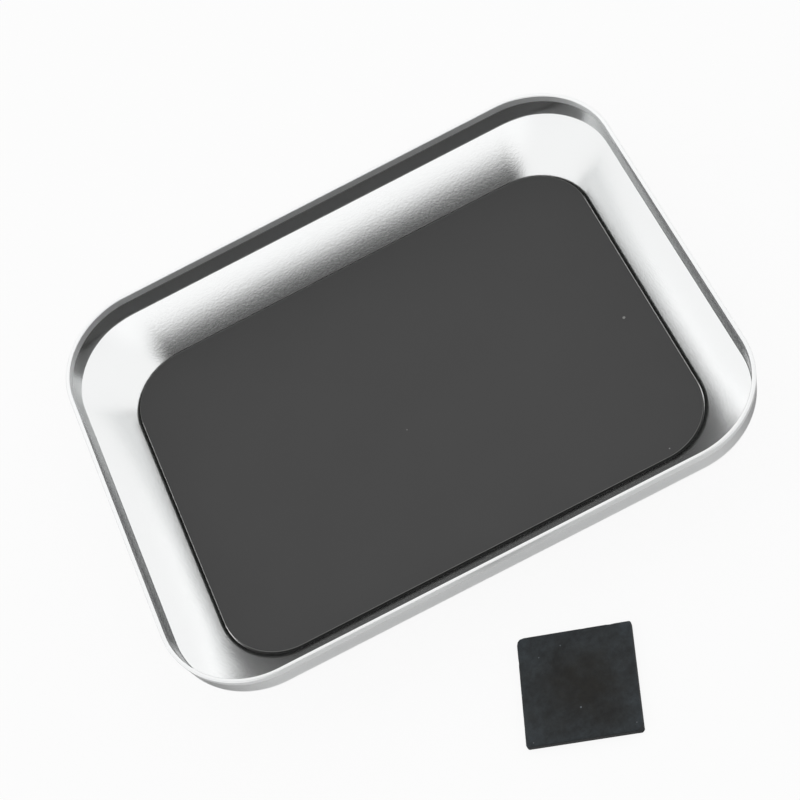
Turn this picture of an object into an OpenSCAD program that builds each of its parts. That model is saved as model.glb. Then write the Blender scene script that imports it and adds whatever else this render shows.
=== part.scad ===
// Magnetic parts tray: a pressed aluminium tray with a magnetic rubber sheet on its floor,
// and the loose square ferrite plate that goes with it. Millimetres, +Z up. The origin is
// the middle of the tray's underside, with the long side along X.

/* [Tray] */
// Length of the tray over its rim
tray_length = 120; // [90:1:200]
// Width of the tray over its rim
tray_width = 94; // [70:1:160]
// Height from the underside to the top of the rim
tray_height = 14.2; // [12:0.1:24]
// Thickness of the aluminium sheet that the tray is pressed from
tray_sheet_t = 0.8; // [0.5:0.1:1.2]
// Radius of the rim's corners, seen from above
rim_corner_r = 17.8; // [15:0.2:24]
// Radius that breaks the two edges of the rim
rim_edge_r = 0.2; // [0.05:0.05:0.25]
// Height of the lip, from the crease up to the rim
lip_height = 5.1; // [3:0.1:6]
// Outward lean of the lip, in degrees from upright
lip_lean = 5.5; // [0:0.5:10]
// Distance from the rim in to the edge of the flat floor
floor_margin = 9.6; // [8:0.1:12]
// Radius of the bend from the floor into the wall, on the upper face
floor_bend_r = 0.6; // [0.4:0.1:2]
// Radius of the wall's slight bulge towards the inside, on the upper face
wall_r = 48; // [25:1:80]
// Radius of the crease from the wall into the lip, on the upper face
crease_r = 0.3; // [0.1:0.1:0.6]

/* [Magnetic sheet] */
// Gap left between the sheet and the edge of the flat floor
sheet_clearance = 0.3; // [0.1:0.1:2]
// Radius of the sheet's corners, seen from above
sheet_corner_r = 12; // [9:0.2:20]
// Thickness of the double-sided adhesive film under the sheet
adhesive_t = 0.1; // [0.05:0.05:0.3]
// Thickness of the magnetic rubber
magnet_sheet_t = 0.6; // [0.4:0.1:2]
// Thickness of the vinyl face laminated on the rubber
facing_t = 0.1; // [0.05:0.05:0.3]

/* [Ferrite plate] */
// Side of the square plate
plate_side = 21; // [15:0.5:40]
// Thickness of the plate
plate_t = 1.5; // [1:0.1:5]
// Radius of the plate's corners, seen from above
plate_corner_r = 0.5; // [0.5:0.1:3]
// Width of the chamfer round the plate's faces
plate_chamfer = 0.2; // [0.05:0.05:0.4]
// Turn of the plate about the vertical, in degrees
plate_turn = -19.5; // [-45:0.5:45]
// Place of the plate's middle along the tray's long side
plate_x = 4.2; // [-40:0.2:40]
// Clear space between the tray's rim and the plate's nearest corner
plate_gap = 9.3; // [2:0.1:40]

/* [Hidden] */
$fn = 96;

// The wall is one bent strip: floor bend, bulging wall, crease, lip, each tangent to the next.
// On its section, u runs out from the axis of the tray's corner and v runs up. An angle is
// the slope of the strip at that place.
lip_angle = 90 - lip_lean;
lip_run = lip_height * tan(lip_lean);
rim_edge_inset = rim_edge_r * (1 + sin(lip_lean)) / cos(lip_lean);
rim_edge_outset = rim_edge_r * (1 - sin(lip_lean)) / cos(lip_lean);
rim_edge_v = tray_height - rim_edge_r;
rim_outer_u = rim_corner_r - rim_edge_r + rim_edge_inset;
rim_inner_u = rim_outer_u - tray_sheet_t / cos(lip_lean);
rim_outer_centre = [rim_corner_r - rim_edge_r, rim_edge_v];
rim_inner_centre = [rim_inner_u + rim_edge_outset, rim_edge_v];

// Outward normal of the strip where it has the given slope
function outward(angle) = [sin(angle), -cos(angle)];

// The floor bend and the crease are placed first, and the wall's arc touches both of them.
// The three arcs' centres make a triangle, which gives the wall's two end angles.
floor_edge_u = rim_corner_r - floor_margin;
floor_bend_centre = [floor_edge_u, tray_sheet_t + floor_bend_r];
lip_start = [rim_inner_u - lip_run, tray_height - lip_height];
crease_centre = lip_start - crease_r * outward(lip_angle);
centre_step = crease_centre - floor_bend_centre;
centre_distance = norm(centre_step);
to_floor_bend = wall_r + floor_bend_r;
to_crease = wall_r + crease_r;
crease_corner = acos((to_crease * to_crease + centre_distance * centre_distance
    - to_floor_bend * to_floor_bend) / (2 * to_crease * centre_distance));
wall_turn = acos((to_crease * to_crease + to_floor_bend * to_floor_bend
    - centre_distance * centre_distance) / (2 * to_crease * to_floor_bend));
wall_top_angle = atan2(centre_step[1], centre_step[0]) + crease_corner - 90;
wall_foot_angle = wall_top_angle + wall_turn;
wall_centre = floor_bend_centre + to_floor_bend * outward(wall_foot_angle);
// The wall's arc runs on into the bends beside it by this many degrees, so that they join up
seam_turn = 0.002;

sheet_length = tray_length - 2 * (floor_margin + sheet_clearance);
sheet_width = tray_width - 2 * (floor_margin + sheet_clearance);
adhesive_z = tray_sheet_t;
magnet_sheet_z = adhesive_z + adhesive_t;
facing_z = magnet_sheet_z + magnet_sheet_t;

plate_reach = (plate_side / 2 - plate_corner_r) * (cos(plate_turn) + abs(sin(plate_turn))) + plate_corner_r;
plate_y = -tray_width / 2 - plate_gap - plate_reach;

// A bend in the strip, from one slope to another, with the given radius on its upper face.
// The centre of a hollow bend is above the strip, and that of a bulge is below it.
module bend(centre, upper_r, from_angle, to_angle, bulge = false) {
    small_r = bulge ? upper_r - tray_sheet_t : upper_r;
    large_r = small_r + tray_sheet_t;
    side = bulge ? -1 : 1;
    wedge_r = side * 2 * large_r / cos((to_angle - from_angle) / 2);
    translate(centre)
        intersection() {
            difference() {
                circle(r = large_r);
                circle(r = small_r);
            }
            polygon([
                [0, 0],
                wedge_r * outward(from_angle),
                wedge_r * outward((from_angle + to_angle) / 2),
                wedge_r * outward(to_angle)
            ]);
        }
}

// Section of the tray from the axis of its corner out to the rim
module wall_section() {
    square([floor_edge_u, tray_sheet_t]);
    bend(floor_bend_centre, floor_bend_r, 0, wall_foot_angle);
    bend(wall_centre, wall_r, wall_foot_angle + seam_turn, wall_top_angle - seam_turn, bulge = true);
    bend(crease_centre, crease_r, wall_top_angle, lip_angle);
    polygon([
        lip_start,
        rim_inner_centre - rim_edge_r * outward(lip_angle),
        rim_inner_centre,
        rim_inner_centre + [0, rim_edge_r],
        rim_outer_centre + [0, rim_edge_r],
        rim_outer_centre,
        rim_outer_centre + rim_edge_r * outward(lip_angle),
        lip_start + tray_sheet_t * outward(lip_angle)
    ]);
    translate(rim_inner_centre)
        circle(r = rim_edge_r);
    translate(rim_outer_centre)
        circle(r = rim_edge_r);
}

// Carries a section round a rectangle with round corners and fills the middle.
// The section runs out from the corner's axis and is height thick there.
module swept_plate(length, width, corner_r, height) {
    straight_x = length - 2 * corner_r;
    straight_y = width - 2 * corner_r;
    translate([-straight_x / 2, -straight_y / 2, 0])
        cube([straight_x, straight_y, height]);
    for (end = [0, 180])
        rotate([0, 0, end]) {
            translate([straight_x / 2, straight_y / 2, 0])
                rotate([90, 0, 0])
                    linear_extrude(height = straight_y)
                        children();
            translate([-straight_x / 2, straight_y / 2, 0])
                rotate([90, 0, 90])
                    linear_extrude(height = straight_x)
                        children();
            translate([straight_x / 2, straight_y / 2, 0])
                rotate_extrude(angle = 90)
                    children();
            translate([-straight_x / 2, straight_y / 2, 0])
                rotate([0, 0, 90])
                    rotate_extrude(angle = 90)
                        children();
        }
}

// Flat layer of the magnetic sheet at the given height
module sheet_layer(z, thickness) {
    translate([0, 0, z])
        swept_plate(sheet_length, sheet_width, sheet_corner_r, thickness)
            square([sheet_corner_r, thickness]);
}

// The pressed tray, with the same sheet thickness on floor, wall and lip
module tray_shell() {
    color("#d6d7d9")
        swept_plate(tray_length, tray_width, rim_corner_r, tray_sheet_t)
            wall_section();
}

// The film that glues the magnetic sheet to the floor
module adhesive_film() {
    color("#1f1f20")
        sheet_layer(adhesive_z, adhesive_t);
}

// The flexible magnetic rubber that holds the screws
module magnetic_sheet() {
    color("#2a2a2b")
        sheet_layer(magnet_sheet_z, magnet_sheet_t);
}

// The matt vinyl face on the rubber
module facing_film() {
    color("#48484a")
        sheet_layer(facing_z, facing_t);
}

// Section of the ferrite plate, chamfered at both faces
module plate_section() {
    polygon([
        [0, 0],
        [plate_corner_r - plate_chamfer, 0],
        [plate_corner_r, plate_chamfer],
        [plate_corner_r, plate_t - plate_chamfer],
        [plate_corner_r - plate_chamfer, plate_t],
        [0, plate_t]
    ]);
}

// The loose sintered ferrite magnet, lying beside the tray
module ferrite_plate() {
    color("#2c2c2d")
        translate([plate_x, plate_y, 0])
            rotate([0, 0, plate_turn])
                swept_plate(plate_side, plate_side, plate_corner_r, plate_t)
                    plate_section();
}

tray_shell();
adhesive_film();
magnetic_sheet();
facing_film();
ferrite_plate();
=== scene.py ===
# %% [markdown]
# A magnetic parts tray
#
# The object is a hand-sized tray for small screws. It is pressed from one aluminium sheet,
# bead-blasted and clear anodised. A thin magnetic rubber sheet with a matt vinyl face is glued
# to its floor, and a loose square ferrite magnet lies beside it. The CAD model holds the exact
# sizes. This script adds the looks: smooth meshes on the same sizes, materials, light and camera.

# %% Load the frame
import math

import bmesh
import bpy
from mathutils import Matrix, Vector, noise


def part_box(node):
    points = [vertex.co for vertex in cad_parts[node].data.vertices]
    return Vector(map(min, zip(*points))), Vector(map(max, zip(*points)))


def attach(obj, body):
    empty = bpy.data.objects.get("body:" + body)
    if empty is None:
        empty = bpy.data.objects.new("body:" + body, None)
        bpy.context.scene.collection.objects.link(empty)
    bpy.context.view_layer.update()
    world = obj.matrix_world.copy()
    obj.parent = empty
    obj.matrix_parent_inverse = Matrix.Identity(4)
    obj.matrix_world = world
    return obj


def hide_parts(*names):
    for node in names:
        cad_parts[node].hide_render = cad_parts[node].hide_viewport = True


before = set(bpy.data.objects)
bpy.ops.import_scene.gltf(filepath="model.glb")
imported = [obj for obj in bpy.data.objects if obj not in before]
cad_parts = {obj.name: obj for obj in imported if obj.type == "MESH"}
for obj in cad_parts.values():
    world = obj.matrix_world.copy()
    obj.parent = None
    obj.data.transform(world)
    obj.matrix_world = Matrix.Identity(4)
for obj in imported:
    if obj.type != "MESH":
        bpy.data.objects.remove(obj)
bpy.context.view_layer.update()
MM = 0.001
print("nodes:", sorted(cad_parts))

# %% [markdown]
# The camera
#
# The photograph looks along the tray's short side, from about 56 degrees up, and is then turned
# in the picture plane. The values below come from fitting a perspective camera to the rim, the
# crease and the sheet's edge. A matrix is built from the three camera axes, because the roll
# is easier to read there than in Euler angles.

# %% Camera
CAMERA_TARGET = Vector((-1.55, 2.75, 0)) * MM
CAMERA_DISTANCE = 417.5 * MM
CAMERA_AZIMUTH = math.radians(1.025)
CAMERA_ELEVATION = math.radians(55.985)
CAMERA_ROLL = math.radians(-27.963)
CAMERA_LENS_MM = 95.46
SENSOR_MM = 36
CLIP_START = 10 * MM

backward = Vector((
    math.sin(CAMERA_AZIMUTH) * math.cos(CAMERA_ELEVATION),
    -math.cos(CAMERA_AZIMUTH) * math.cos(CAMERA_ELEVATION),
    math.sin(CAMERA_ELEVATION),
))
level_right = Vector((0, 0, 1)).cross(backward).normalized()
level_up = backward.cross(level_right)
camera_right = math.cos(CAMERA_ROLL) * level_right + math.sin(CAMERA_ROLL) * level_up
camera_up = math.cos(CAMERA_ROLL) * level_up - math.sin(CAMERA_ROLL) * level_right

camera_data = bpy.data.cameras.new("camera")
camera_data.lens = CAMERA_LENS_MM
camera_data.sensor_width = SENSOR_MM
camera_data.clip_start = CLIP_START
camera = bpy.data.objects.new("camera", camera_data)
bpy.context.scene.collection.objects.link(camera)
axes = Matrix((camera_right, camera_up, backward)).transposed().to_4x4()
camera.matrix_world = Matrix.Translation(CAMERA_TARGET + CAMERA_DISTANCE * backward) @ axes
bpy.context.scene.camera = camera
bpy.context.scene.view_settings.view_transform = "Standard"
print("camera at", [round(value / MM) for value in camera.matrix_world.translation], "mm")

# %% [markdown]
# Helpers for materials
#
# Colours are written as sRGB hex values, as a paint program shows them, and Blender wants them
# linear. One small function adds any node, with its settings and links, so that each material
# below reads as a list of what is in it. Pattern scales are worked out from real sizes.

# %% Colour and node helpers
def linear(hex_colour):
    """An sRGB hex colour as linear RGBA."""
    channels = [int(hex_colour[place:place + 2], 16) / 255 for place in (1, 3, 5)]
    return tuple(
        c / 12.92 if c <= 0.04045 else ((c + 0.055) / 1.055) ** 2.4 for c in channels
    ) + (1.0,)


def add(tree, kind, settings=None, links=None):
    """Adds one node. A setting is a socket's name or number, or else a property of the node."""
    node = tree.nodes.new(kind)
    for name, value in (settings or {}).items():
        if isinstance(name, int) or name in node.inputs:
            node.inputs[name].default_value = value
        else:
            setattr(node, name, value)
    for name, source in (links or {}).items():
        tree.links.new(source, node.inputs[name])
    return node


def new_material(name):
    """An empty node material with its output, and the object's own coordinates in metres."""
    material = bpy.data.materials.new(name)
    material.use_nodes = True
    tree = material.node_tree
    tree.nodes.clear()
    output = add(tree, "ShaderNodeOutputMaterial")
    place = add(tree, "ShaderNodeTexCoord").outputs["Object"]
    return material, tree, output, place


def per_size(size_mm):
    """The scale of a texture whose features are about this large."""
    return 1 / (size_mm * MM)


WHITE = linear("#ffffff")
SOFT_STEP = {"interpolation_type": "SMOOTHSTEP"}
print("helpers ready")

# %% [markdown]
# Light
#
# A metal shows nothing but what is around it, so the light is built round the tray as a product
# table does it: white paper arched over from front to back, like a tunnel, and two dark cards in
# its middle. One stands low at the front and makes the dark foot of the far wall. The other hangs
# overhead, and a lamp shines between them. Behind the second card the paper is bare, and the flat
# top of the rim mirrors it as a white line all round. Low down at both sides the paper is
# brighter. Area lamps and planes could do this, but the tunnel is simpler as the world itself:
# each card follows from the direction's sideways part and its angle over the arch.

# %% Directions in the light tunnel
CARD_HALF_WIDTH = math.radians(10)
CARD_SIDE_FADE = math.radians(16)

world = bpy.data.worlds.new("light_tunnel")
world.use_nodes = True
bpy.context.scene.world = world
tree = world.node_tree
tree.nodes.clear()
direction = add(tree, "ShaderNodeTexCoord").outputs["Generated"]
part = add(tree, "ShaderNodeSeparateXYZ", None, {"Vector": direction}).outputs
sideways = add(tree, "ShaderNodeMath", {"operation": "ABSOLUTE"}, {0: part["X"]})
frontward = add(tree, "ShaderNodeMath", {"operation": "MULTIPLY", 1: -1}, {0: part["Y"]})
arch_angle = add(
    tree, "ShaderNodeMath", {"operation": "ARCTAN2"},
    {0: part["Z"], 1: frontward.outputs["Value"]},
).outputs["Value"]
in_card = add(tree, "ShaderNodeMapRange", {
    **SOFT_STEP,
    "From Min": math.sin(CARD_HALF_WIDTH + CARD_SIDE_FADE), "From Max": math.sin(CARD_HALF_WIDTH),
}, {"Value": sideways.outputs["Value"]})
print("cards fade out", round(math.degrees(CARD_HALF_WIDTH + CARD_SIDE_FADE)), "degrees sideways")

# %% Cards and lamp
LAMP = 1.1
FRONT_CARD_TOP = math.radians(32)
FRONT_CARD_FADE = math.radians(14)
FRONT_CARD_DIM = 0.97
OVERHEAD_CARD_FROM = math.radians(68)
OVERHEAD_CARD_TO = math.radians(116)
OVERHEAD_CARD_FADE = math.radians(20)
OVERHEAD_CARD_DIM = 0.95

front_dim = add(tree, "ShaderNodeMapRange", {
    **SOFT_STEP, "From Min": FRONT_CARD_TOP + FRONT_CARD_FADE, "From Max": FRONT_CARD_TOP,
    "To Max": FRONT_CARD_DIM,
}, {"Value": arch_angle})
overhead_start = add(tree, "ShaderNodeMapRange", {
    **SOFT_STEP,
    "From Min": OVERHEAD_CARD_FROM, "From Max": OVERHEAD_CARD_FROM + OVERHEAD_CARD_FADE,
}, {"Value": arch_angle})
overhead_dim = add(tree, "ShaderNodeMapRange", {
    **SOFT_STEP, "From Min": OVERHEAD_CARD_TO, "From Max": OVERHEAD_CARD_TO - OVERHEAD_CARD_FADE,
    "To Max": OVERHEAD_CARD_DIM,
}, {"Value": arch_angle})
dim = add(tree, "ShaderNodeMath", {"operation": "MULTIPLY_ADD"}, {
    0: overhead_start.outputs["Result"], 1: overhead_dim.outputs["Result"],
    2: front_dim.outputs["Result"],
})
lamp_light = add(
    tree, "ShaderNodeMath", {"operation": "MULTIPLY_ADD", 1: -LAMP, 2: LAMP},
    {0: dim.outputs["Value"]},
)
gap_degrees = math.degrees(OVERHEAD_CARD_FROM - FRONT_CARD_TOP)
print("the lamp shines through a gap of", round(gap_degrees), "degrees")

# %% World
TUNNEL_STRENGTH = 0.97
SIDE_GLOW = 0.8
SIDE_GLOW_TOP = math.radians(12)

side_light = add(tree, "ShaderNodeMapRange", {
    **SOFT_STEP, "From Min": math.sin(SIDE_GLOW_TOP), "From Max": 0,
    "To Min": 1, "To Max": 1 + SIDE_GLOW,
}, {"Value": part["Z"]})
lit = add(tree, "ShaderNodeMix", {"data_type": "FLOAT"}, {
    0: in_card.outputs["Result"], 2: side_light.outputs["Result"], 3: lamp_light.outputs["Value"],
})
strength = add(
    tree, "ShaderNodeMath", {"operation": "MULTIPLY", 1: TUNNEL_STRENGTH}, {0: lit.outputs[0]}
)
tunnel = add(
    tree, "ShaderNodeBackground", {"Color": WHITE}, {"Strength": strength.outputs["Value"]}
)
backdrop = add(tree, "ShaderNodeBackground", {"Color": WHITE, "Strength": 1.0})
ray = add(tree, "ShaderNodeLightPath")
shown = add(tree, "ShaderNodeMixShader", None, {
    0: ray.outputs["Is Camera Ray"],
    1: tunnel.outputs["Background"],
    2: backdrop.outputs["Background"],
})
add(tree, "ShaderNodeOutputWorld", None, {"Surface": shown.outputs["Shader"]})
print("light tunnel with", len(tree.nodes), "nodes")

# %% [markdown]
# Floor
#
# The object lies on white paper. More light would make it white, but would wash out the tray too.
# So the camera alone sees it nearly white, as the photograph does, through the light path, and a
# small share stays plain paper, so that the tray and the magnet still cast a faint shadow and
# don't float. The metal mirrors a little of that white too. Everything else sees plain paper.

# %% White paper floor
FLOOR_HALF_M = 3.0
PAPER_WHITE = "#eeeeee"
SEEN_WHITE_SHARE = 0.9
MIRRORED_WHITE_SHARE = 0.1

paper, tree, output, _ = new_material("white_sweep_paper")
plain = add(tree, "ShaderNodeBsdfDiffuse", {"Color": linear(PAPER_WHITE)})
glow = add(tree, "ShaderNodeEmission", {"Color": WHITE, "Strength": 1.0})
ray = add(tree, "ShaderNodeLightPath")
mirrored_share = add(
    tree, "ShaderNodeMath", {"operation": "MULTIPLY", 1: MIRRORED_WHITE_SHARE},
    {0: ray.outputs["Is Glossy Ray"]},
)
white_share = add(
    tree, "ShaderNodeMath", {"operation": "MULTIPLY_ADD", 1: SEEN_WHITE_SHARE},
    {0: ray.outputs["Is Camera Ray"], 2: mirrored_share.outputs["Value"]},
)
mixed = add(tree, "ShaderNodeMixShader", None, {
    0: white_share.outputs["Value"],
    1: plain.outputs["BSDF"],
    2: glow.outputs["Emission"],
})
tree.links.new(mixed.outputs["Shader"], output.inputs["Surface"])

floor_mesh = bpy.data.meshes.new("floor")
floor_mesh.from_pydata(
    [(x * FLOOR_HALF_M, y * FLOOR_HALF_M, 0) for x, y in ((-1, -1), (1, -1), (1, 1), (-1, 1))],
    [], [(0, 1, 2, 3)],
)
floor_mesh.materials.append(paper)
floor = bpy.data.objects.new("floor", floor_mesh)
bpy.context.scene.collection.objects.link(floor)
print("floor", 2 * FLOOR_HALF_M, "m square")

# %% [markdown]
# Sweeping a section
#
# The tray, the rubber sheet and the magnet are all a flat section carried round a rectangle with
# round corners. Blender could do this with a curve's bevel, but then the corners would be uneven.
# Here every point of the section has its own rounded rectangle with its own corner radius, so
# the mesh is clean quads, and two flat faces close the floor and the underside. Sections and
# outlines are in millimetres, and become metres when the mesh is made.

# %% Sections and outlines
CORNER_STEPS = 32
SIDE_STEPS = 24


def outward(angle):
    """Outward normal of a bent strip where it has this slope."""
    return Vector((math.sin(angle), -math.cos(angle)))


def arc(centre, radius, from_angle, to_angle, steps):
    """Points on a bend of the strip, from one slope to another."""
    turn = (to_angle - from_angle) / steps
    return [centre + radius * outward(from_angle + turn * step) for step in range(steps + 1)]


def rounded_rectangle(length, width, corner_r):
    """Points round a rectangle with round corners, as many for any size."""
    half_x, half_y = length / 2 - corner_r, width / 2 - corner_r
    corner_axes = [
        Vector((half_x, half_y)), Vector((-half_x, half_y)),
        Vector((-half_x, -half_y)), Vector((half_x, -half_y)),
    ]
    points = []
    for corner, axis in enumerate(corner_axes):
        for step in range(CORNER_STEPS + 1):
            angle = (corner + step / CORNER_STEPS) * math.pi / 2
            points.append(axis + corner_r * Vector((math.cos(angle), math.sin(angle))))
        along = corner_axes[(corner + 1) % 4] - axis
        side_start = points[-1]
        points += [side_start + along * (step / SIDE_STEPS) for step in range(1, SIDE_STEPS)]
    return points


print("an outline has", 4 * (CORNER_STEPS + SIDE_STEPS), "points")


# %% A piece from a section
def swept_piece(name, section, length, width, body, material, replaced):
    """Carries an open section round a rectangle and closes its two ends. In mm.

    A point of the section is its inset from the outline, its height and its corner radius.
    """
    mesh = bmesh.new()
    rings = []
    for inset, up, corner_r in section:
        ring = rounded_rectangle(length - 2 * inset, width - 2 * inset, corner_r)
        rings.append([mesh.verts.new((p.x * MM, p.y * MM, up * MM)) for p in ring])
    count = len(rings[0])
    for lower, upper in zip(rings, rings[1:]):
        for here in range(count):
            there = (here + 1) % count
            mesh.faces.new((lower[here], lower[there], upper[there], upper[here]))
    mesh.faces.new(rings[0])
    mesh.faces.new(rings[-1])
    bmesh.ops.recalc_face_normals(mesh, faces=mesh.faces)
    data = bpy.data.meshes.new(name)
    mesh.to_mesh(data)
    mesh.free()
    data.polygons.foreach_set("use_smooth", [True] * len(data.polygons))
    data.materials.append(material)
    piece = bpy.data.objects.new(name, data)
    bpy.context.scene.collection.objects.link(piece)
    piece.modifiers.new("even_shading", "WEIGHTED_NORMAL")
    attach(piece, body)
    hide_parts(replaced)
    print(name, len(data.polygons), "faces")
    return piece


# %% [markdown]
# Bead-blasted, clear anodised aluminium
#
# Fine glass beads leave the sheet covered in tiny pits, and the clear oxide keeps it a cool pale
# grey. The eye sees a satin metal: reflections are soft, with a fine grain in the half shadows.
# The pits are about 0.05 mm, too fine to show here, so the grain is drawn at 0.45 mm. A second,
# much wider bump is the slight unevenness that pressing leaves in thin sheet. The die irons the
# lip, which is smoother. The rim is trimmed after pressing and then deburred on a soft wheel,
# which dulls the top of the lip a little. The oxide takes some light at grazing angles. Each
# zone could have a material of its own, but the zones only differ by height, so one material
# with soft steps up its height does for all of them.

# %% Zones of the aluminium, by height
LIP_FROM_MM = (9.0, 9.4)
DEBURRED_MM = (12.5, 12.9)
CUT_EDGE_MM = (13.9, 14.05)

aluminium, tree, output, place = new_material("anodised_aluminium_bead_blasted")
height = add(tree, "ShaderNodeSeparateXYZ", None, {"Vector": place}).outputs["Z"]
on_lip, deburred, cut_edge = [
    add(
        tree, "ShaderNodeMapRange",
        {**SOFT_STEP, "From Min": start_mm * MM, "From Max": full_mm * MM}, {"Value": height},
    ).outputs["Result"]
    for start_mm, full_mm in (LIP_FROM_MM, DEBURRED_MM, CUT_EDGE_MM)
]
print("the lip's finish starts at", LIP_FROM_MM[0], "mm")

# %% Grain and pressing waves
GRAIN_MM = 0.45
GRAIN_DEPTH_MM = 0.016
LIP_GRAIN_SHARE = 0.1
PRESSING_WAVE_MM = 16
PRESSING_DEPTH_MM = 0.05

grain = add(
    tree, "ShaderNodeTexNoise", {"Scale": per_size(GRAIN_MM), "Detail": 2.0, "Roughness": 0.6},
    {"Vector": place},
).outputs["Fac"]
wave = add(
    tree, "ShaderNodeTexNoise", {"Scale": per_size(PRESSING_WAVE_MM), "Detail": 1.0},
    {"Vector": place},
)
wave_bump = add(
    tree, "ShaderNodeBump", {"Distance": PRESSING_DEPTH_MM * MM}, {"Height": wave.outputs["Fac"]}
)
grain_share = add(
    tree, "ShaderNodeMath", {"operation": "MULTIPLY_ADD", 1: LIP_GRAIN_SHARE - 1, 2: 1},
    {0: on_lip},
)
grain_bump = add(tree, "ShaderNodeBump", {"Distance": GRAIN_DEPTH_MM * MM}, {
    "Height": grain, "Normal": wave_bump.outputs["Normal"],
    "Strength": grain_share.outputs["Value"],
})
print("grain of", GRAIN_MM, "mm over waves of", PRESSING_WAVE_MM, "mm")

# %% Aluminium
ALUMINIUM = "#f7f8f8"
WALL_GRAZING_TINT = "#ececec"
LIP_GRAZING_TINT = "#b4b4b4"
ALUMINIUM_ROUGHNESS = (0.18, 0.26)
LIP_ROUGHNESS = 0.13
DEBURRED_ROUGHNESS = 0.45
CUT_EDGE_ROUGHNESS = 0.3

roughness = add(tree, "ShaderNodeMapRange", {
    "To Min": ALUMINIUM_ROUGHNESS[0], "To Max": ALUMINIUM_ROUGHNESS[1],
}, {"Value": grain}).outputs["Result"]
for zone, zone_roughness in (
    (on_lip, LIP_ROUGHNESS), (deburred, DEBURRED_ROUGHNESS), (cut_edge, CUT_EDGE_ROUGHNESS),
):
    roughness = add(
        tree, "ShaderNodeMix", {"data_type": "FLOAT", 3: zone_roughness}, {0: zone, 2: roughness}
    ).outputs[0]
grazing_tint = add(tree, "ShaderNodeMix", {
    "data_type": "RGBA", 6: linear(WALL_GRAZING_TINT), 7: linear(LIP_GRAZING_TINT),
}, {0: on_lip})
metal = add(
    tree, "ShaderNodeBsdfPrincipled", {"Base Color": linear(ALUMINIUM), "Metallic": 1.0},
    {
        "Specular Tint": grazing_tint.outputs[2], "Roughness": roughness,
        "Normal": grain_bump.outputs["Normal"],
    },
)
tree.links.new(metal.outputs["BSDF"], output.inputs["Surface"])
print("made", aluminium.name)

# %% [markdown]
# The tray
#
# The tray is one sheet of constant thickness. From the floor it bends up into a wall with a slight
# bulge, folds at a sharp crease and ends in a lip that leans out a little. A Solidify modifier
# could thicken one side of it, but here both sides are drawn as arcs, so that the bends stay true
# and the rim's two edges can be rounded. The wall's arc touches the floor bend and the crease, so
# its ends follow from the triangle of the three arc centres. Towards the floor the corners grow
# rounder, because the floor follows the corners of the sheet. The photograph shows no light line
# round the sheet, so the bend and the gap are drawn tighter than in the CAD, at 0.2 and 0.1 mm.

# %% Lip, crease and floor bend
tray_low, tray_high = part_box("tray_shell")
TRAY_LENGTH, TRAY_WIDTH, TRAY_HEIGHT = (tray_high - tray_low) / MM
SHEET_T = 0.8
RIM_CORNER_R = 17.8
RIM_EDGE_R = 0.2
LIP_HEIGHT = 5.1
LIP_LEAN = math.radians(5.5)
FLOOR_MARGIN = 9.8
FLOOR_BEND_R = 0.2
CREASE_R = 0.3

lip_angle = math.pi / 2 - LIP_LEAN
rim_outer_centre = Vector((RIM_CORNER_R - RIM_EDGE_R, TRAY_HEIGHT - RIM_EDGE_R))
rim_width = SHEET_T / math.cos(LIP_LEAN)
rim_inner_centre = rim_outer_centre - Vector((rim_width - 2 * RIM_EDGE_R / math.cos(LIP_LEAN), 0))
inner_top = rim_inner_centre - RIM_EDGE_R * outward(lip_angle)
lip_along = Vector((math.sin(LIP_LEAN), math.cos(LIP_LEAN)))
lip_start = inner_top - lip_along * ((inner_top.y - TRAY_HEIGHT + LIP_HEIGHT) / lip_along.y)
crease_centre = lip_start - CREASE_R * outward(lip_angle)
floor_bend_centre = Vector((RIM_CORNER_R - FLOOR_MARGIN, SHEET_T + FLOOR_BEND_R))
print("crease", round(RIM_CORNER_R - lip_start.x, 2), "mm in from the rim")

# %% Wall
WALL_R = 48

step_up = crease_centre - floor_bend_centre
to_crease, to_floor_bend = WALL_R + CREASE_R, WALL_R + FLOOR_BEND_R
crease_corner = math.acos(
    (to_crease ** 2 + step_up.length ** 2 - to_floor_bend ** 2) / (2 * to_crease * step_up.length)
)
wall_turn = math.acos(
    (to_crease ** 2 + to_floor_bend ** 2 - step_up.length ** 2) / (2 * to_crease * to_floor_bend)
)
wall_top = math.atan2(step_up.y, step_up.x) + crease_corner - math.pi / 2
wall_foot = wall_top + wall_turn
wall_centre = floor_bend_centre + to_floor_bend * outward(wall_foot)
foot_degrees, top_degrees = round(math.degrees(wall_foot)), round(math.degrees(wall_top))
print("wall slopes", foot_degrees, "to", top_degrees, "degrees")

# %% Tray section
SHEET_CLEARANCE = 0.1
SHEET_CORNER_R = 12
BEND_STEPS, WALL_STEPS, LIP_STEPS, EDGE_STEPS = 10, 20, 6, 5


def strip_side(offset):
    """One side of the bent sheet, from the floor up to where the lip ends."""
    side = [floor_bend_centre + Vector((-SHEET_CLEARANCE, -FLOOR_BEND_R - offset))]
    side += arc(floor_bend_centre, FLOOR_BEND_R + offset, 0, wall_foot, BEND_STEPS)
    side += arc(wall_centre, offset - WALL_R, wall_foot, wall_top, WALL_STEPS)[1:]
    side += arc(crease_centre, CREASE_R + offset, wall_top, lip_angle, BEND_STEPS)[1:]
    lip_foot = side[-1]
    lip_end = inner_top + offset * outward(lip_angle)
    lip_end = lip_foot + lip_along * (lip_end - lip_foot).dot(lip_along)
    side += [lip_foot.lerp(lip_end, step / LIP_STEPS) for step in range(1, LIP_STEPS)]
    return side


def rounder_by(point):
    """How much rounder the corner is here than a plain inset of the rim would be."""
    wall_share = (lip_start.x - point.x) / (lip_start.x - floor_bend_centre.x)
    floor_corner_r = SHEET_CORNER_R + SHEET_CLEARANCE
    return min(max(wall_share, 0), 1) * (floor_corner_r - floor_bend_centre.x)


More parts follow.
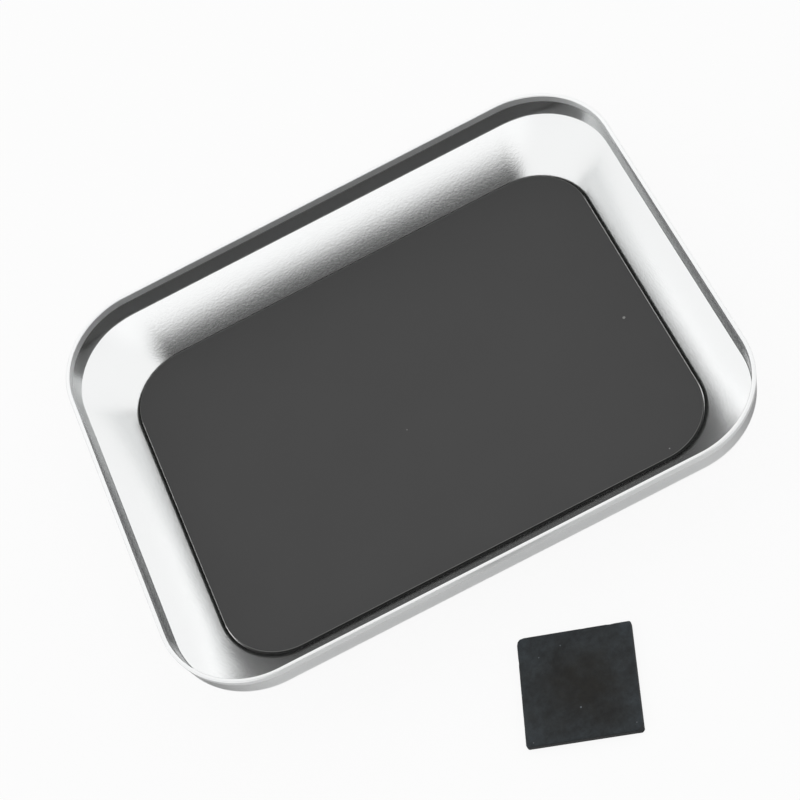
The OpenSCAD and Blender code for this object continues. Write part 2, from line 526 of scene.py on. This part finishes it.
rim = arc(rim_inner_centre, RIM_EDGE_R, lip_angle - math.pi, -math.pi, EDGE_STEPS)
rim += arc(rim_outer_centre, RIM_EDGE_R, math.pi, lip_angle, EDGE_STEPS)
inside, outside = strip_side(0), strip_side(SHEET_T)
rounder = [rounder_by(point) for point in inside]
tray_section = [
    (RIM_CORNER_R - point.x, point.y, point.x + extra)
    for point, extra in zip(inside + rim + outside[::-1], rounder + [0] * len(rim) + rounder[::-1])
]
print("tray section of", len(tray_section), "points")

# %% Tray mesh
swept_piece(
    "pressed_tray", tray_section, TRAY_LENGTH, TRAY_WIDTH,
    "tray", aluminium, "tray_shell",
)

# %% [markdown]
# Clouds and specks
#
# Films, rubber and ceramic are never one even colour. Two patterns come back in the materials
# below: a cloudy mix of two close colours, and pale specks. Cells of a Voronoi pattern place the
# specks. Each cell has a random level, and only the cells above a certain level get a speck, so
# that the specks lie far apart and differ in size.

# %% Clouds and specks in a colour
def two_tones(tree, place, size_mm, colours):
    """A cloudy mix of two colours: the share of the second one, and the colour."""
    share = add(
        tree, "ShaderNodeTexNoise", {"Scale": per_size(size_mm), "Detail": 3.0}, {"Vector": place}
    ).outputs["Fac"]
    colour = add(tree, "ShaderNodeMix", {
        "data_type": "RGBA", 6: linear(colours[0]), 7: linear(colours[1]),
    }, {0: share}).outputs[2]
    return share, colour


def with_specks(tree, place, colour, spacing_mm, from_level, speck_mm, speck):
    """A colour with specks on it, at most this large."""
    cells = add(tree, "ShaderNodeTexVoronoi", {"Scale": per_size(spacing_mm)}, {"Vector": place})
    reach = add(tree, "ShaderNodeMapRange", {
        "From Min": from_level, "To Max": speck_mm / spacing_mm,
    }, {"Value": cells.outputs["Color"]})
    in_speck = add(
        tree, "ShaderNodeMath", {"operation": "LESS_THAN"},
        {0: cells.outputs["Distance"], 1: reach.outputs["Result"]},
    )
    return add(
        tree, "ShaderNodeMix", {"data_type": "RGBA", 7: linear(speck)},
        {0: in_speck.outputs["Value"], 6: colour},
    ).outputs[2]


print("clouds and specks ready")

# %% [markdown]
# Acrylic adhesive film
#
# The double-sided film under the rubber only shows as a thin line deep in the gap round the
# sheet. The CAD solid has its right shape, so it stays and gets a material: a black, slightly
# glossy acrylic with dust caught along it.

# %% Adhesive
ADHESIVE = ("#0e0e0e", "#1a1a19")
ADHESIVE_DUST_MM = 0.8
ADHESIVE_ROUGHNESS = 0.5
ADHESIVE_SPECULAR = 0.2
ACRYLIC_IOR = 1.47

adhesive, tree, output, place = new_material("acrylic_adhesive_cast_film")
_, dusty_colour = two_tones(tree, place, ADHESIVE_DUST_MM, ADHESIVE)
film = add(tree, "ShaderNodeBsdfPrincipled", {
    "Roughness": ADHESIVE_ROUGHNESS, "IOR": ACRYLIC_IOR, "Specular IOR Level": ADHESIVE_SPECULAR,
}, {"Base Color": dusty_colour})
tree.links.new(film.outputs["BSDF"], output.inputs["Surface"])
adhesive_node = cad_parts["adhesive_film"]
adhesive_node.data.materials.clear()
adhesive_node.data.materials.append(adhesive)
print("made", adhesive.name)

# %% [markdown]
# Die-cut magnetic rubber
#
# The sheet is rubber filled with ferrite powder, rolled flat and cut with a steel rule. Its cut
# edge is a dark grey, dull and a little torn, and nearly black where it stands in the shade of
# the gap. The powder is finer than it can show, so its grain is drawn at 0.25 mm, as a fine bump.
# The sheet could be a plain extrusion, but a cutting rule leaves a slight undercut and soft edges,
# so its section has both.

# %% Rubber
RUBBER = ("#2a2a29", "#343433")
RUBBER_ROUGHNESS = 0.75
RUBBER_SPECULAR = 0.15
RUBBER_IOR = 1.52
POWDER_MM = 0.25
POWDER_DEPTH_MM = 0.02

rubber, tree, output, place = new_material("magnetic_rubber_die_cut")
powder, powder_colour = two_tones(tree, place, POWDER_MM, RUBBER)
powder_bump = add(
    tree, "ShaderNodeBump", {"Distance": POWDER_DEPTH_MM * MM}, {"Height": powder}
)
filled_rubber = add(tree, "ShaderNodeBsdfPrincipled", {
    "Roughness": RUBBER_ROUGHNESS, "IOR": RUBBER_IOR, "Specular IOR Level": RUBBER_SPECULAR,
}, {"Base Color": powder_colour, "Normal": powder_bump.outputs["Normal"]})
tree.links.new(filled_rubber.outputs["BSDF"], output.inputs["Surface"])
print("made", rubber.name)

# %% Rubber mesh
rubber_low, rubber_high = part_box("magnetic_sheet")
SHEET_LENGTH, SHEET_WIDTH, RUBBER_T = (rubber_high - rubber_low) / MM
RUBBER_Z = rubber_low.z / MM
SHEET_BORDER = 0.5
RUBBER_EDGE = 0.06
RUBBER_UNDERCUT = 0.05

rubber_top = RUBBER_Z + RUBBER_T
rubber_section = [(inset, up, SHEET_CORNER_R - inset) for inset, up in (
    (SHEET_BORDER, RUBBER_Z),
    (RUBBER_UNDERCUT + RUBBER_EDGE, RUBBER_Z),
    (RUBBER_UNDERCUT, RUBBER_Z + RUBBER_EDGE),
    (RUBBER_UNDERCUT / 2, RUBBER_Z + RUBBER_T / 2),
    (0, rubber_top - RUBBER_EDGE),
    (RUBBER_EDGE, rubber_top),
    (SHEET_BORDER, rubber_top),
)]
swept_piece(
    "magnetic_rubber", rubber_section, SHEET_LENGTH, SHEET_WIDTH,
    "tray", rubber, "magnetic_sheet",
)

# %% [markdown]
# Matt vinyl face
#
# The face of the sheet is a matt vinyl film, rolled on while warm. It looks an even dark grey,
# with a very fine leathery grain from the roll, faint cloudy patches where hands have touched it,
# and a few pale specks of dust. The roll's grain is about 0.1 mm and is drawn at 0.3 mm, so that
# it shows. Where the cutting rule came down, the film rolls over at its edge. That rolled edge is
# painted paler, as a painted highlight, which gives a thin light line. The face could be only a
# colour on top of the rubber, but as a piece of its own it has that rolled edge.

# %% Vinyl colour
VINYL = ("#424242", "#474747")
VINYL_CLOUD_MM = 18
DUST_SPACING_MM = 5
DUST_FROM_LEVEL = 0.7
DUST_MM = 0.4
DUST = "#8c8c8a"
# The paler colour on the rolled edge is a painted highlight, a thin light line.
PAINTED_EDGE_HIGHLIGHT = "#888886"
PAINTED_HIGHLIGHT_BELOW_MM = (0.02, 0.045)

vinyl_low, vinyl_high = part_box("facing_film")
vinyl, tree, output, place = new_material("vinyl_matt_calendered")
cloud, cloudy_colour = two_tones(tree, place, VINYL_CLOUD_MM, VINYL)
face_colour = with_specks(
    tree, place, cloudy_colour, DUST_SPACING_MM, DUST_FROM_LEVEL, DUST_MM, DUST
)
height = add(tree, "ShaderNodeSeparateXYZ", None, {"Vector": place}).outputs["Z"]
# Painted highlight: below its flat top the film takes the paler colour, so the rolled edge shows a
# light line.
painted_highlight_share = add(tree, "ShaderNodeMapRange", {
    **SOFT_STEP, "From Min": vinyl_high.z - PAINTED_HIGHLIGHT_BELOW_MM[0] * MM,
    "From Max": vinyl_high.z - PAINTED_HIGHLIGHT_BELOW_MM[1] * MM,
}, {"Value": height})
vinyl_and_painted_highlight = add(
    tree, "ShaderNodeMix", {"data_type": "RGBA", 7: linear(PAINTED_EDGE_HIGHLIGHT)},
    {0: painted_highlight_share.outputs["Result"], 6: face_colour},
)
print("vinyl from", VINYL[0], "to", VINYL[1])

# %% Vinyl
VINYL_ROUGHNESS = (0.52, 0.62)
VINYL_SPECULAR = 0.25
VINYL_IOR = 1.53
ROLL_GRAIN_MM = 0.3
ROLL_GRAIN_DEPTH_MM = 0.006

roll_grain = add(
    tree, "ShaderNodeTexNoise", {"Scale": per_size(ROLL_GRAIN_MM), "Detail": 2.0},
    {"Vector": place},
)
roll_bump = add(
    tree, "ShaderNodeBump", {"Distance": ROLL_GRAIN_DEPTH_MM * MM},
    {"Height": roll_grain.outputs["Fac"]},
)
matt = add(tree, "ShaderNodeMapRange", {
    "To Min": VINYL_ROUGHNESS[0], "To Max": VINYL_ROUGHNESS[1],
}, {"Value": cloud})
matt_face = add(
    tree, "ShaderNodeBsdfPrincipled", {"IOR": VINYL_IOR, "Specular IOR Level": VINYL_SPECULAR},
    {
        "Base Color": vinyl_and_painted_highlight.outputs[2], "Roughness": matt.outputs["Result"],
        "Normal": roll_bump.outputs["Normal"],
    },
)
tree.links.new(matt_face.outputs["BSDF"], output.inputs["Surface"])
print("made", vinyl.name)

# %% Vinyl mesh
VINYL_Z, VINYL_TOP = vinyl_low.z / MM, vinyl_high.z / MM
ROLL_OVER = 0.3
ROLL_OVER_DROP_SHARE = 0.85
ROLL_OVER_STEPS = 8

roll_drop = (VINYL_TOP - VINYL_Z) * ROLL_OVER_DROP_SHARE
vinyl_section = [
    (SHEET_BORDER, VINYL_Z, SHEET_CORNER_R - SHEET_BORDER), (0, VINYL_Z, SHEET_CORNER_R),
]
for step in range(ROLL_OVER_STEPS + 1):
    angle = step / ROLL_OVER_STEPS * math.pi / 2
    inset = ROLL_OVER * (1 - math.cos(angle))
    up = VINYL_TOP - roll_drop * (1 - math.sin(angle))
    vinyl_section.append((inset, up, SHEET_CORNER_R - inset))
vinyl_section.append((SHEET_BORDER, VINYL_TOP, SHEET_CORNER_R - SHEET_BORDER))
swept_piece(
    "vinyl_face", vinyl_section, SHEET_LENGTH, SHEET_WIDTH,
    "tray", vinyl, "facing_film",
)

# %% [markdown]
# Sintered ferrite
#
# The loose magnet is a pressed and fired ceramic, charcoal black. Its face is dull with a faint
# sheen, brownish in the middle and a little bluer near the edges, with cloudy patches, tiny pits
# and pale specks. Real pits are about 0.2 mm and are drawn at 0.6 mm, so that they show. Its sides
# are painted darker than its face, as painted shade. Ceramic edges chip, so the mesh has small
# chips along its upper chamfer, and two of its upper corners are broken off. Bump could draw the
# chips, but then the outline would stay too clean. The lower face keeps the full size.

# %% Ferrite colour
PLATE_SIDE = 21
FERRITE_MIDDLE = "#14130f"
FERRITE_EDGE = "#2a3034"
FERRITE_EDGE_MM = (PLATE_SIDE * 0.5, PLATE_SIDE * 1.05)
FERRITE_PATCH_MM = 4
FERRITE_PATCH_SHIFT_MM = PLATE_SIDE * 0.8
FERRITE_SPECK_SPACING_MM = 1.8
FERRITE_SPECK_FROM_LEVEL = 0.65
FERRITE_SPECK_MM = 0.3
FERRITE_SPECK = "#5c6166"

plate_low, plate_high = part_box("ferrite_plate")
plate_centre = (plate_low + plate_high) / 2
ferrite, tree, output, place = new_material("ferrite_sintered")
from_centre = add(
    tree, "ShaderNodeVectorMath", {"operation": "DISTANCE", 1: plate_centre}, {0: place}
)
patch = add(tree, "ShaderNodeTexNoise", {
    "Scale": per_size(FERRITE_PATCH_MM), "Detail": 6.0, "Roughness": 0.62,
}, {"Vector": place})
patchy_distance = add(
    tree, "ShaderNodeMath", {"operation": "MULTIPLY_ADD", 1: FERRITE_PATCH_SHIFT_MM * MM},
    {0: patch.outputs["Fac"], 2: from_centre.outputs["Value"]},
)
edge_share = add(tree, "ShaderNodeMapRange", {
    "From Min": FERRITE_EDGE_MM[0] * MM, "From Max": FERRITE_EDGE_MM[1] * MM,
}, {"Value": patchy_distance.outputs["Value"]})
plain_ferrite = add(tree, "ShaderNodeMix", {
    "data_type": "RGBA", 6: linear(FERRITE_MIDDLE), 7: linear(FERRITE_EDGE),
}, {0: edge_share.outputs["Result"]})
ferrite_colour = with_specks(
    tree, place, plain_ferrite.outputs[2], FERRITE_SPECK_SPACING_MM, FERRITE_SPECK_FROM_LEVEL,
    FERRITE_SPECK_MM, FERRITE_SPECK,
)
print("ferrite from", FERRITE_MIDDLE, "to", FERRITE_EDGE)

# %% Clouds and painted side shade of the ferrite
# Painted shade: the sides keep this share of the face's colour.
FERRITE_PAINTED_SIDE_SHADE = 0.35
PAINTED_SHADE_UPWARD = (0.3, 0.95)
FERRITE_CLOUD_MM = 2.6
FERRITE_CLOUD_RANGE = (0.3, 0.7)
FERRITE_CLOUD_LEVELS = (0.35, 1.5)

facing = add(tree, "ShaderNodeNewGeometry").outputs["Normal"]
upward = add(tree, "ShaderNodeSeparateXYZ", None, {"Vector": facing}).outputs["Z"]
# Painted shade: faces that don't point up, the sides and chamfers, get a darker colour.
painted_side_shade = add(tree, "ShaderNodeMapRange", {
    **SOFT_STEP, "From Min": PAINTED_SHADE_UPWARD[0], "From Max": PAINTED_SHADE_UPWARD[1],
    "To Min": FERRITE_PAINTED_SIDE_SHADE,
}, {"Value": upward})
ferrite_cloud = add(tree, "ShaderNodeTexNoise", {
    "Scale": per_size(FERRITE_CLOUD_MM), "Detail": 7.0, "Roughness": 0.7,
}, {"Vector": place})
cloud_level = add(tree, "ShaderNodeMapRange", {
    "From Min": FERRITE_CLOUD_RANGE[0], "From Max": FERRITE_CLOUD_RANGE[1],
    "To Min": FERRITE_CLOUD_LEVELS[0], "To Max": FERRITE_CLOUD_LEVELS[1],
}, {"Value": ferrite_cloud.outputs["Fac"]})
# The ferrite's colour is scaled by its clouds and by the painted side shade.
cloud_and_painted_shade = add(
    tree, "ShaderNodeMath", {"operation": "MULTIPLY"},
    {0: painted_side_shade.outputs["Result"], 1: cloud_level.outputs["Result"]},
)
ferrite_with_painted_shade = add(
    tree, "ShaderNodeVectorMath", {"operation": "SCALE"},
    {"Vector": ferrite_colour, "Scale": cloud_and_painted_shade.outputs["Value"]},
)
print("ferrite clouds of", FERRITE_CLOUD_MM, "mm")

# %% Ferrite
FERRITE_ROUGHNESS = 0.5
FERRITE_SPECULAR = 0.14
FERRITE_IOR = 1.9
PIT_MM = 0.6
PIT_DEPTH_MM = 0.035

pits = add(
    tree, "ShaderNodeTexNoise", {"Scale": per_size(PIT_MM), "Detail": 4.0, "Roughness": 0.65},
    {"Vector": place},
)
pit_bump = add(
    tree, "ShaderNodeBump", {"Distance": PIT_DEPTH_MM * MM}, {"Height": pits.outputs["Fac"]}
)
fired = add(tree, "ShaderNodeBsdfPrincipled", {
    "Roughness": FERRITE_ROUGHNESS, "IOR": FERRITE_IOR, "Specular IOR Level": FERRITE_SPECULAR,
}, {"Base Color": ferrite_with_painted_shade.outputs["Vector"], "Normal": pit_bump.outputs["Normal"]})
tree.links.new(fired.outputs["BSDF"], output.inputs["Surface"])
print("made", ferrite.name)

# %% Ferrite mesh
PLATE_CORNER_R = 0.5
PLATE_CHAMFER = 0.2
PLATE_BORDER = 0.45

plate_t = (plate_high.z - plate_low.z) / MM
plate_section = [(inset, up, PLATE_CORNER_R - inset) for inset, up in (
    (PLATE_BORDER, 0),
    (PLATE_CHAMFER, 0),
    (0, PLATE_CHAMFER),
    (0, plate_t / 2),
    (0, plate_t - PLATE_CHAMFER),
    (PLATE_CHAMFER / 2, plate_t - PLATE_CHAMFER / 2),
    (PLATE_CHAMFER, plate_t),
    (PLATE_BORDER, plate_t),
)]
plate = swept_piece(
    "ferrite_magnet", plate_section, PLATE_SIDE, PLATE_SIDE,
    "ferrite_plate", ferrite, "ferrite_plate",
)

# %% Chips, broken corners and place of the magnet
PLATE_TURN = math.radians(-19.5)
CHIP_SPACING_MM = 0.7
CHIP_FROM_LEVEL = 0.2
CHIP_MM = 0.12
CHAMFER_TOLERANCE = 0.01
BROKEN_CORNERS_MM = (((-1, 1), 0.45), ((1, -1), 0.75))
BREAK_FLATNESS = 0.88

turn = Matrix.Rotation(PLATE_TURN, 3, "Z")
middle = Vector((plate_centre.x, plate_centre.y, 0))
corner_reach = (PLATE_SIDE / 2 - PLATE_CORNER_R) * math.sqrt(2) + PLATE_CORNER_R
for vertex in plate.data.vertices:
    below_face = plate_t - vertex.co.z / MM
    if CHAMFER_TOLERANCE < below_face < PLATE_CHAMFER + CHAMFER_TOLERANCE:
        level = noise.noise(vertex.co / (CHIP_SPACING_MM * MM))
        chip = max(0.0, level - CHIP_FROM_LEVEL) * CHIP_MM * MM
        inward = Vector((-vertex.co.x, -vertex.co.y, 0)).normalized()
        vertex.co += chip * (inward - Vector((0, 0, 1)))
    for corner, broken_mm in BROKEN_CORNERS_MM:
        diagonal = Vector((*corner, 0)).normalized()
        broken_here = broken_mm * vertex.co.z / plate_high.z
        beyond = vertex.co.dot(diagonal) - (corner_reach - broken_here) * MM
        vertex.co -= max(beyond, 0) * BREAK_FLATNESS * diagonal
    vertex.co = turn @ vertex.co + middle
print("ferrite plate", round(plate_t, 2), "mm thick")
